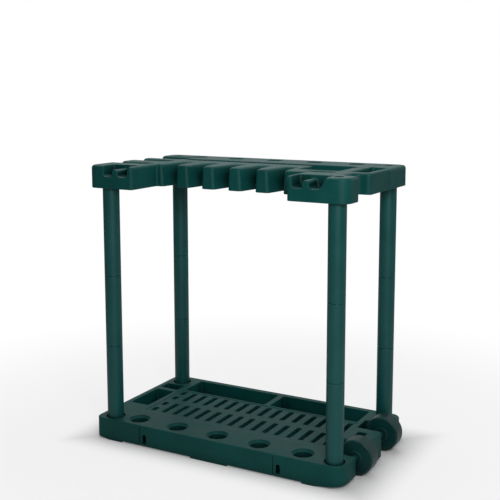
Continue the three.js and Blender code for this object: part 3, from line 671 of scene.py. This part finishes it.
def wheel(name, y0, y1):
    piece = level_rod(name, AXLE_X, y0, y1, AXLE_Z, WHEEL, 128)
    soften(piece, lambda edge: bend(edge) > 1, SHOULDER, 6)
    for side in (-1, 1):
        pick(piece, "FACE", end_disc(side))
        bpy.ops.mesh.inset(thickness=EDGE_RING * MM)
        bpy.ops.mesh.inset(thickness=DISH_STEP * MM)
        bpy.ops.transform.translate(value=(0, -side * DISH_DEPTH * MM, 0))
        bpy.ops.mesh.inset(thickness=DISH * MM)
        bpy.ops.mesh.inset(thickness=HUB_STEP * MM)
        bpy.ops.transform.translate(value=(0, side * HUB_RISE * MM, 0))
        hub = WHEEL - SHOULDER - EDGE_RING - DISH_STEP - DISH - HUB_STEP
        bpy.ops.mesh.inset(thickness=(hub - WHEEL_BORE) * MM)
        leave()
    pick(piece, "FACE", lambda face: end_disc(-1)(face) or end_disc(1)(face))
    bpy.ops.mesh.bridge_edge_loops()
    leave()
    return piece


front_wheel = wheel("front_wheel_moulding", front_low[1], front_high[1])
back_wheel = copy_of(front_wheel, "back_wheel_moulding", (0, (back_low[1] - front_low[1]) * MM, 0))
finish_piece(front_wheel, "front_wheel", wheel_plastic, "wheel_front")
finish_piece(back_wheel, "back_wheel", wheel_plastic, "wheel_back")

# %% [markdown]
# ## The base: its outer form
#
# The base is one thin-walled moulding, open below, like a deep tray turned upside down. A box of
# its full size is notched where the wheels sit, and its upright corners get their different
# roundings. The upper edge is softened, and then the underside is inset by the wall and pushed
# up, which leaves a skirt and a deck of even thickness.

# %% Model the shell of the base
DECK, DECK_THICKNESS = 60, 3.5
SKIRT_WALL = 3
(BASE_LEFT, BASE_FRONT, _), (BLOCK_RIGHT, BASE_BACK, BLOCK_TOP) = drawing_box("base_tray")
BASE_RIGHT = 372
BAY_LEFT, BAY_FRONT, BAY_BACK = 297, -118, 131
UNDER_FLOOR, PAST_LEFT, PAST_RIGHT = -9, -390, 390
PAST_DECK = DECK + 30

base_corners = {
    22: [(BASE_LEFT, BASE_FRONT)],
    36: [(BASE_RIGHT, BASE_FRONT)],
    30: [(BASE_RIGHT, BASE_BACK), (BASE_LEFT, BASE_BACK)],
    5: [(x, y) for x in (BAY_LEFT, BASE_RIGHT) for y in (BAY_FRONT, BAY_BACK)],
}


def round_corners(piece, radii, wall=0):
    for radius, places in radii.items():
        for convex in (True, False):
            width = radius - wall if convex else radius + wall
            soften(piece, lambda edge: is_upright(edge) and edge.is_convex == convex and any(
                math.hypot(spot(edge).x - x, spot(edge).y - y) < 9 for x, y in places), width, 8)


base = box("base_moulding", (BASE_LEFT, BASE_FRONT, 0), (BASE_RIGHT, BASE_BACK, DECK))
cut(base, [box("bay", (BAY_LEFT, BAY_FRONT, UNDER_FLOOR), (PAST_RIGHT, BAY_BACK, PAST_DECK))])
round_corners(base, base_corners)
soften(base, is_rim, 3, 5)
pick(base, "FACE", lambda face: face.normal.z < -0.99)
bpy.ops.mesh.inset(thickness=SKIRT_WALL * MM)
grow(DECK - DECK_THICKNESS)
leave()
print("shell of", len(base.data.polygons), "faces")

# %% [markdown]
# ## The base: what hangs under the deck
#
# Under the deck hang the walls of the cups, the troughs and the post sockets, low collars round
# the floor slots and stiffening ribs. They are joined to the shell first, as solid rods and
# boxes, so that their hollows can be cut together with the openings in the deck.

# %% Add the walls under the deck
UNDER = DECK - 2
CUP_ROW, CUP_PITCH = -161, 126
CUP, CUP_MOUTH, CUP_DEPTH = 24, 29, 47
CUP_WALL, CUP_FLOOR, MOUTH_WALL = 3.5, 2.5, 2.5
FUNNEL_DEPTH = 7
SOCKET, SOCKET_FLOOR, SOCKET_WALL = TUBE + TUBE_GAP, 12, 3
RING, RING_DEPTH = 26.5, 6
TROUGH_FLOOR, TROUGH_WALL = 13, 2.5
SLOT_COLUMN, SLOT_PITCH, SLOT_COLUMNS = -270, 36, 15
SLOT, COLLAR, COLLAR_FOOT = 7.5, 2.4, 45.5
RIB, RIB_FOOT = 1.2, 40

cups = [-260 + CUP_PITCH * i for i in range(5)]
slots = [(SLOT_COLUMN + SLOT_PITCH * i, y0, y1)
         for i in range(1, SLOT_COLUMNS + 1) for y0, y1 in ((-84, -8), (20, 90))]
slots += [(SLOT_COLUMN, y0, y1) for y0, y1 in ((-84, -58), (-34, -8), (20, 46), (64, 90))]
troughs = [(-281, -9, 104, 196), (9, 281, 104, 196), (-363, -303, -60, 75), (-363, -303, 93, 133)]
walls = []
for x in cups:
    cup_foot, mouth_foot = DECK - CUP_DEPTH - CUP_FLOOR, DECK - FUNNEL_DEPTH - MOUTH_WALL
    walls.append(upright_rod("cup_wall", x, CUP_ROW, cup_foot, UNDER, CUP + CUP_WALL))
    walls.append(upright_rod("rim_wall", x, CUP_ROW, mouth_foot, UNDER, CUP_MOUTH + MOUTH_WALL))
for x, y in corners.values():
    socket_foot, ring_foot = SOCKET_FLOOR - SOCKET_WALL, DECK - RING_DEPTH - SOCKET_WALL
    walls.append(upright_rod("socket_wall", x, y, socket_foot, UNDER, SOCKET + SOCKET_WALL))
    walls.append(upright_rod("ring_wall", x, y, ring_foot, UNDER, RING + SOCKET_WALL))
for x0, x1, y0, y1 in troughs:
    low = (x0 - TROUGH_WALL, y0 - TROUGH_WALL, TROUGH_FLOOR - TROUGH_WALL)
    walls.append(box("trough_wall", low, (x1 + TROUGH_WALL, y1 + TROUGH_WALL, UNDER)))
for x, y0, y1 in slots:
    low = (x - SLOT - COLLAR, y0 - COLLAR, COLLAR_FOOT)
    walls.append(box("collar", low, (x + SLOT + COLLAR, y1 + COLLAR, UNDER)))
for y in (-98, 6):
    low = (BASE_LEFT + 1.5, y - RIB, RIB_FOOT)
    walls.append(box("long_rib", low, (BAY_LEFT - 1.5, y + RIB, UNDER)))
for x in [cup - CUP_PITCH / 2 for cup in cups[1:]]:
    low = (x - RIB, BASE_FRONT + 1.5, RIB_FOOT)
    walls.append(box("cross_rib", low, (x + RIB, -84, UNDER)))
cut(base, walls, "UNION")
print("joined", len(walls), "walls")

# %% [markdown]
# ## The base: cups, troughs, sockets and slats
#
# All the hollows are cut in one go. The cups have a funnel at the mouth, and the slatted floor
# lies a little lower than the deck. Then the rims are softened, and the slatted floor and the
# deck are planed, each at its own level.

# %% Cut the hollows and soften their rims
SLATS = DECK - 1.5


def funnel(x, y):
    bpy.ops.object.select_all(action="DESELECT")
    bpy.ops.mesh.primitive_cone_add(
        vertices=64, radius1=CUP * MM, radius2=CUP_MOUTH * MM, depth=5 * MM, location=at(x, y, DECK - 4.5))
    return settle("funnel")


def round_box(name, low, high, radius):
    piece = box(name, low, high)
    soften(piece, is_upright, radius, 4)
    return piece


def is_rim_at(z):
    return lambda edge: is_rim(edge) and near(spot(edge).z, z)


hollows = []
for x in cups:
    hollows.append(upright_rod("cup", x, CUP_ROW, DECK - CUP_DEPTH, DECK - 6.9, CUP))
    hollows.append(funnel(x, CUP_ROW))
    hollows.append(upright_rod("mouth", x, CUP_ROW, DECK - 2.05, PAST_DECK, CUP_MOUTH))
for x, y in corners.values():
    hollows.append(upright_rod("socket", x, y, SOCKET_FLOOR, PAST_DECK, SOCKET))
    hollows.append(upright_rod("ring", x, y, DECK - RING_DEPTH, PAST_DECK, RING))
for x0, x1, y0, y1 in troughs:
    hollows.append(round_box("trough", (x0, y0, TROUGH_FLOOR), (x1, y1, PAST_DECK), 5))
for x, y0, y1 in slots:
    hollows.append(round_box("slot", (x - SLOT, y0, 30), (x + SLOT, y1, PAST_DECK), 3))
hollows.append(round_box("panel", (-288, -98, SLATS), (288, 97, PAST_DECK), 3))
cut(base, hollows)
soften(base, is_rim_at(SLATS), 0.9, 3)
soften(base, is_rim_at(DECK), 1.2, 3)
plane_off(base, SLATS, 24, (-286.5, -96.5), (286.5, 95.5))
plane_off(base, DECK, 40)
print("cut", len(hollows), "hollows")

# %% [markdown]
# ## The base: feet, grooves and latch holes
#
# The skirt stands on three feet a side and rises towards both ends, so that the rack can be
# tipped onto its wheels. Two grooves and two arched latch holes mark the front. Behind each
# latch hole a small block closes the view into the shell.

# %% Cut the skirt
ARCH = 4
LEFT_RISE_START, LEFT_RISE = -335, 9.8
RIGHT_RISE_START, RIGHT_RISE = 292, 13.5
PAST_FRONT, PAST_BACK = BASE_FRONT - 10, BASE_BACK + 10
GROOVE, GROOVE_TOP = 1.6, 57
LATCH_MIDDLE, LATCH, LATCH_FOOT, LATCH_SPRING = 14, 6, 10, 29.5
GROOVE_BACK, LATCH_BACK = -202.8, -191


def wedge(low, high, end, rise):
    piece = box("rise", low, high)
    pick(piece, "VERT", lambda vert: near(spot(vert).x, end, 1) and spot(vert).z > low[2] + 1)
    bpy.ops.transform.translate(value=(0, 0, rise * MM))
    leave()
    return piece


def is_latch_rim(edge):
    place = spot(edge)
    beside = min(abs(place.x - x - LATCH_MIDDLE) for x in grooves)
    level = near(place.z, 22, 13.5)
    return bend(edge) > 0.5 and near(place.y, BASE_FRONT, HAIR) and level and beside < LATCH + 0.6


skirt = []
for x0, x1 in ((-290, -67), (46, 261)):
    skirt.append(box("arch", (x0, PAST_FRONT, UNDER_FLOOR), (x1, PAST_BACK, ARCH)))
for x0, x1 in ((PAST_LEFT, -290), (261, PAST_RIGHT)):
    skirt.append(box("end_arch", (x0, -105, UNDER_FLOOR), (x1, 105, ARCH)))
rises = ((PAST_LEFT, LEFT_RISE_START, PAST_LEFT, LEFT_RISE),
         (RIGHT_RISE_START, PAST_RIGHT, PAST_RIGHT, RIGHT_RISE))
for x0, x1, end, rise in rises:
    skirt.append(wedge((x0, PAST_FRONT, UNDER_FLOOR), (x1, PAST_BACK, 0), end, rise))
grooves = (-229, 181)
backs = [box("latch_back", (x + 5, BASE_FRONT + 1.5, 7), (x + 23, -188, 40)) for x in grooves]
cut(base, backs, "UNION")
for x in grooves:
    skirt.append(box("groove", (x - GROOVE, PAST_FRONT, UNDER_FLOOR), (x + GROOVE, GROOVE_BACK, GROOVE_TOP)))
    middle = x + LATCH_MIDDLE
    skirt.append(box("latch", (middle - LATCH, PAST_FRONT, LATCH_FOOT),
                     (middle + LATCH, LATCH_BACK, LATCH_SPRING)))
    skirt.append(level_rod("arch_top", middle, PAST_FRONT, LATCH_BACK, LATCH_SPRING, LATCH))
cut(base, skirt)
soften(base, is_latch_rim, 0.7, 2)
print("cut", len(skirt), "pieces from the skirt")

# %% [markdown]
# ## The base: the block between the wheels
#
# A hollow block with a hand slot stands between the wheels, and short bosses on both sides keep
# the wheels in their places. The bore for the axle runs through all of them, so it is cut last.

# %% Add the block and the bosses
BLOCK_LEFT, BLOCK_FRONT, BLOCK_BACK = 294, -55, 37
BLOCK_WALL, BLOCK_ROOF = 3, 3.5
BOSS, BASE_BORE = 8, 5.3

block = box("block", (BLOCK_LEFT, BLOCK_FRONT, 8), (BLOCK_RIGHT, BLOCK_BACK, BLOCK_TOP))
soften(block, lambda edge: is_upright(edge) and spot(edge).x > BLOCK_RIGHT - 1, 10, 8)
soften(block, lambda edge: bend(edge) > 1 and spot(edge).z > BLOCK_TOP - 0.1
       and spot(edge).x > BLOCK_LEFT + 0.5, 5, 5)
slot_case = box("slot_case", (323.5, -28.1, 31.5), (353.5, 10.1, BLOCK_TOP))
inside = round_box("inside", (BLOCK_LEFT + BLOCK_WALL, BLOCK_FRONT + BLOCK_WALL, -2),
                   (BLOCK_RIGHT - BLOCK_WALL, BLOCK_BACK - BLOCK_WALL, BLOCK_TOP - BLOCK_ROOF), 6)
cut(inside, [slot_case])
cut(block, [inside, round_box("hand_slot", (326, -25.6, 34), (351, 7.6, PAST_DECK), 3)])
soften(block, lambda edge: is_rim(edge) and spot(edge).z > BLOCK_TOP - 0.1, 1.5, 3)
boss_spans = ((-121, -102.4), (-57.6, -53), (35, 78.6), (123.4, 134))
bosses = [level_rod("boss", AXLE_X, y0, y1, AXLE_Z, BOSS) for y0, y1 in boss_spans]
cut(base, [block, *bosses], "UNION")
cut(base, [level_rod("bore", AXLE_X, -150, 160, AXLE_Z, BASE_BORE)])
finish_piece(base, "rack_frame", base_plastic, "base_tray")

# %% [markdown]
# ## The top rack: its outer form
#
# The top is the showpiece: a moulding with five tapered finger slots at the front, three slots on
# the left end and one on the right, with a loop behind it. One function makes the form, so that
# it can be made twice: full size for the outside, and smaller by the wall for the hollow that is
# taken out from below. Slots grow by the wall as the box shrinks by it.

# %% Make the form of the rack
(RACK_LEFT, RACK_FRONT, FOOT), (RACK_RIGHT, RACK_BACK, CROWN) = drawing_box("top_rack")
RECESS_LEFT, RECESS_RIGHT, RECESS_BACK = -240, 215, -90
FINGER_START, FINGER_END, FINGER_LEAN = -110, -2, 16
NARROW, NARROW_FLARE = 10.2, 6.1
MOUTH, MOUTH_FLARE = 23.2, 3.2
LEFT_SLOTS = ((72.1, 141.1), (-6.9, 37), (-100.7, -66.9))
LEFT_SLOT_END, TIPS = -264, -380
RIGHT_SLOT_END, RIGHT_SLOT_FRONT, RIGHT_SLOT_BACK = 332, -135, -61
slot_middles = [-199 + 81.5 * i for i in range(5)]
slot_sides = [y for span in LEFT_SLOTS for y in span]

rack_corners = {
    24: [(RACK_LEFT, RACK_FRONT), (RACK_LEFT, RACK_BACK)],
    30: [(RACK_RIGHT, RACK_FRONT), (RACK_RIGHT, RACK_BACK)],
    20: [(RIGHT_SLOT_END, RIGHT_SLOT_FRONT), (RIGHT_SLOT_END, RIGHT_SLOT_BACK)],
    13: [(RACK_RIGHT, RIGHT_SLOT_BACK), *[(TIPS, y) for y in slot_sides]],
    10: [(LEFT_SLOT_END, y) for y in slot_sides],
    9: [(RECESS_LEFT, RACK_FRONT), (RECESS_RIGHT, RACK_FRONT), (RACK_RIGHT, RIGHT_SLOT_FRONT),
        *[(x + side * 22.4, RECESS_BACK) for x in slot_middles for side in (-1, 1)]],
    6: [(RECESS_LEFT, RECESS_BACK), (RECESS_RIGHT, RECESS_BACK)],
}


def finger_slot(x, wall, z0, z1):
    end = NARROW + wall
    piece = box("finger_slot", (x - end, FINGER_START, z0), (x + end, FINGER_END + wall, z1))
    soften(piece, lambda edge: is_upright(edge) and spot(edge).y > -50, end * 0.998, 10)
    for z in (z0, z1):
        share = (z - FOOT) / (CROWN - FOOT)
        pick(piece, "VERT", lambda vert: near(spot(vert).z, z) and spot(vert).y > -50)
        size = (NARROW + NARROW_FLARE * share + wall) / end
        bpy.ops.transform.resize(value=(size, size, 1), center_override=at(x, FINGER_END + wall - end, z))
        back = FINGER_LEAN * share - end * (size - 1)
        bpy.ops.transform.translate(value=(0, back * MM, 0))
        leave()
        pick(piece, "VERT", lambda vert: near(spot(vert).z, z) and spot(vert).y < -50)
        mouth = (MOUTH + MOUTH_FLARE * share + wall) / end
        bpy.ops.transform.resize(value=(mouth, 1, 1), center_override=at(x, FINGER_START, z))
        leave()
    return piece


def rack_form(name, wall, z0, z1):
    piece = box(name, (RACK_LEFT + wall, RACK_FRONT + wall, z0), (RACK_RIGHT - wall, RACK_BACK - wall, z1))
    low, high = z0 - 5, z1 + 5
    cutters = [finger_slot(x, wall, low, high) for x in slot_middles]
    cutters.append(box("front_recess", (RECESS_LEFT - wall, -230, low),
                       (RECESS_RIGHT + wall, RECESS_BACK + wall, high)))
    cutters.append(box("right_slot", (RIGHT_SLOT_END - wall, RIGHT_SLOT_FRONT - wall, low),
                       (PAST_RIGHT, RIGHT_SLOT_BACK + wall, high)))
    for y0, y1 in LEFT_SLOTS:
        cutters.append(box("left_slot", (-400, y0 - wall, low), (LEFT_SLOT_END + wall, y1 + wall, high)))
    cutters.append(box("left_tips", (-400, -80, low), (TIPS + wall, 100, high)))
    cut(piece, cutters)
    round_corners(piece, rack_corners, wall)
    return piece


rack = rack_form("rack_moulding", 0, FOOT, CROWN)
print("outer form", len(rack.data.polygons), "faces")

# %% [markdown]
# ## The top rack: the pocket and the softened rim
#
# The pocket beside the loop goes right through. It is cut first, because one wide bevel then
# softens the whole outer rim, which gives the fingers their round shoulders, and the pocket's own
# rim gets a smaller one later, with those of the windows.

# %% Cut the pocket, then soften the outer rim
BELOW, ABOVE = FOOT - 9, CROWN + 9
UPPER_HALF = 740
POCKET = ((314, -46), (360, 100))


def plan_box(name, plan, z0, z1, wall=0):
    (x0, y0), (x1, y1) = plan
    return box(name, (x0 - wall, y0 - wall, z0), (x1 + wall, y1 + wall, z1))


def in_pocket(edge):
    place = spot(edge)
    (x0, y0), (x1, y1) = POCKET
    return x0 - 0.1 < place.x < x1 + 0.1 and y0 - 0.1 < place.y < y1 + 0.1 and place.z > UPPER_HALF


def is_foot_rim(edge):
    return bend(edge) > 1 and near(spot(edge).z, FOOT) and min(f.normal.z for f in edge.link_faces) < -0.9


pocket = plan_box("pocket", POCKET, BELOW, ABOVE)
soften(pocket, is_upright, 8, 4)
cut(rack, [pocket])
soften(rack, lambda edge: is_rim(edge) and spot(edge).z > UPPER_HALF and not in_pocket(edge), 8.6, 7)
soften(rack, is_foot_rim, 2, 3)
print("with its outer rim", len(rack.data.polygons), "faces")

# %% [markdown]
# ## The top rack: windows and rail holes
#
# The long and the wide window are one opening, so their cutters are joined before its corners are
# rounded. A narrow window lies in front of it and a row of round holes behind. Their rims and the
# pocket's are softened less than the outer one, and the crown is planed.

# %% Cut the windows and the rail holes
LONG_WINDOW = ((-250, 58), (279, 95))
WIDE_WINDOW = ((164, -42), (279, 95))
NARROW_WINDOW = ((208, -88), (288, -62))
RAIL_ROW, RAIL_HOLE = 165, 22

window = plan_box("long_window", LONG_WINDOW, BELOW, ABOVE)
cut(window, [plan_box("wide_window", WIDE_WINDOW, BELOW, ABOVE)], "UNION")
soften(window, is_upright, 8, 5)
narrow = plan_box("narrow_window", NARROW_WINDOW, BELOW, ABOVE)
soften(narrow, is_upright, 12.9, 10)
rail_holes = [upright_rod("rail_hole", x, RAIL_ROW, BELOW, ABOVE, RAIL_HOLE) for x in cups]
cut(rack, [window, narrow, *rail_holes])


def is_inner_rim(edge):
    return is_rim(edge) and spot(edge).z > CROWN - 0.12


soften(rack, lambda edge: is_inner_rim(edge) or (is_rim(edge) and in_pocket(edge)), 4, 4)
plane_off(rack, CROWN)
print("with windows", len(rack.data.polygons), "faces")

# %% [markdown]
# ## The top rack: the rests
#
# The rests are pairs of round-bottomed notches in the front of both blocks, each pair with a low
# rounded tongue between them. Their right-hand side is sloped, more so on the right block. The
# cutter is a leaning box with the tongue taken out of it.

# %% Cut the rests
REST_HALF, REST_FLOOR, REST_END = 36, 736, -155
TONGUE, TONGUE_TOP = 8.8, 757
LEFT_REST = {"middle": -296.5, "rise": 9}
RIGHT_REST = {"middle": 265.5, "rise": 22}
REST_SPANS = ((-346, -250), (218, 336))


def rest_cutter(middle, rise, wall):
    piece = box("rests", (middle - REST_HALF - wall, -230, REST_FLOOR - wall),
                (middle + REST_HALF + 1.5 + wall, REST_END + wall, ABOVE))
    for side, lean in ((-1, 2), (1, rise)):
        pick(piece, "VERT", lambda vert: (spot(vert).x - middle) * side > REST_HALF - 0.5
             and spot(vert).z > CROWN)
        bpy.ops.transform.translate(value=(side * lean * MM, 0, 0))
        leave()
    if not wall:
        tongue = box("tongue", (middle - TONGUE, -240, 730), (middle + TONGUE, -140, TONGUE_TOP))
        soften(tongue, lambda edge: abs(run(edge).y) > 0.9 and spot(edge).z > 750, 8, 7)
        cut(piece, [tongue])
        soften(piece, lambda edge: abs(run(edge).y) > 0.9 and near(spot(edge).z, REST_FLOOR), 8, 6)
        soften(piece, lambda edge: bend(edge) > 1 and near(spot(edge).y, REST_END)
               and spot(edge).z < CROWN, 5, 4)
    return piece


def is_rest_rim(edge):
    place = spot(edge)
    beside = any(x0 < place.x < x1 for x0, x1 in REST_SPANS)
    on_front = near(place.y, RACK_FRONT, HAIR) or (place.y < -197 and place.z > 755)
    return (beside and bend(edge) > 0.75 and place.z > REST_FLOOR + 2 and place.y < REST_END + 1
            and (on_front or is_inner_rim(edge)))


cut(rack, [rest_cutter(**rest, wall=0) for rest in (LEFT_REST, RIGHT_REST)])
soften(rack, is_rest_rim, 2.5, 4)
plane_off(rack, CROWN - 0.03)
print("with rests", len(rack.data.polygons), "faces")

# %% [markdown]
# ## The top rack: small holes and the loop
#
# Three posts have a round hole above them, and a smaller one lies beside the back right hole. The
# last planing of the crown is done in cells. The skirt of the right-hand end is a little shorter
# than the rest, and the loop has a set-in panel on its outer face.

# %% Cut the small holes and shape the loop
POST_HOLE, SMALL_HOLE = 12, 8
LIFT = 8
PANEL_BACK, PANEL_FOOT, PANEL_TOP = 72.7, 711, 767.5


def is_panel_edge(z0, z1):
    return lambda edge: abs(run(edge).x) > 0.9 and spot(edge).y > 60 and z0 < spot(edge).z < z1


def is_panel_rim(edge):
    place = spot(edge)
    return bend(edge) > 0.7 and near(place.x, RACK_RIGHT) and 45 < place.y < 73 and place.z > 712.7


hole_middles = [(338.5, -171), corners["back_right"], corners["back_left"]]
holes = [upright_rod("post_hole", x, y, BELOW, ABOVE, POST_HOLE) for x, y in hole_middles]
holes.append(upright_rod("small_hole", 304, 170, CROWN - 9, ABOVE, SMALL_HOLE, 32))
cut(rack, holes)
soften(rack, is_inner_rim, 1.6, 3)
plane_off(rack, CROWN - 0.06, 40)
cut(rack, [box("lift", (277, -67, BELOW), (PAST_RIGHT, 230, FOOT + LIFT))])
panel = box("loop_panel", (374.2, -90, PANEL_FOOT), (PAST_RIGHT, PANEL_BACK, PANEL_TOP))
soften(panel, is_panel_edge(750, ABOVE), 20, 8)
soften(panel, is_panel_edge(BELOW, 730), 9, 6)
cut(rack, [panel])
soften(rack, is_panel_rim, 1.4, 3)
print("with openings", len(rack.data.polygons), "faces")

# %% [markdown]
# ## The top rack: the hollow underneath
#
# The hollow is the same form made smaller by the wall. Everything that must stay, such as the
# walls round the windows, the post sockets and the ribs, is first taken out of the hollow, and
# then the hollow is taken out of the rack.

# %% Hollow the rack from below
RACK_WALL, ROOF = 3, 3.5
STAY_FOOT = FOOT - 20

hollow = rack_form("hollow", RACK_WALL, FOOT - 12, CROWN - ROOF)
openings = {"long_window": LONG_WINDOW, "wide_window": WIDE_WINDOW,
            "narrow_window": NARROW_WINDOW, "pocket": POCKET}
stays = [plan_box(name, plan, STAY_FOOT, CROWN, RACK_WALL) for name, plan in openings.items()]
stays += [rest_cutter(**rest, wall=RACK_WALL) for rest in (LEFT_REST, RIGHT_REST)]
stays += [upright_rod("rail_hole", x, RAIL_ROW, STAY_FOOT, CROWN, RAIL_HOLE + RACK_WALL) for x in cups]
for x, y in corners.values():
    stays.append(upright_rod("socket", x, y, STAY_FOOT, TUBE_TOP + RACK_WALL, SOCKET + RACK_WALL))
    stays.append(upright_rod("hole_wall", x, y, 727, CROWN, 16))
for x in [cup - CUP_PITCH / 2 for cup in cups[1:]]:
    stays.append(box("rib", (x - RIB, 96, 746), (x + RIB, 212, CROWN)))
cut(hollow, stays)
sockets = [upright_rod("socket", x, y, FOOT - 15, TUBE_TOP, SOCKET) for x, y in corners.values()]
cut(rack, [hollow, *sockets])
finish_piece(rack, "rack_frame", rack_plastic, "top_rack")
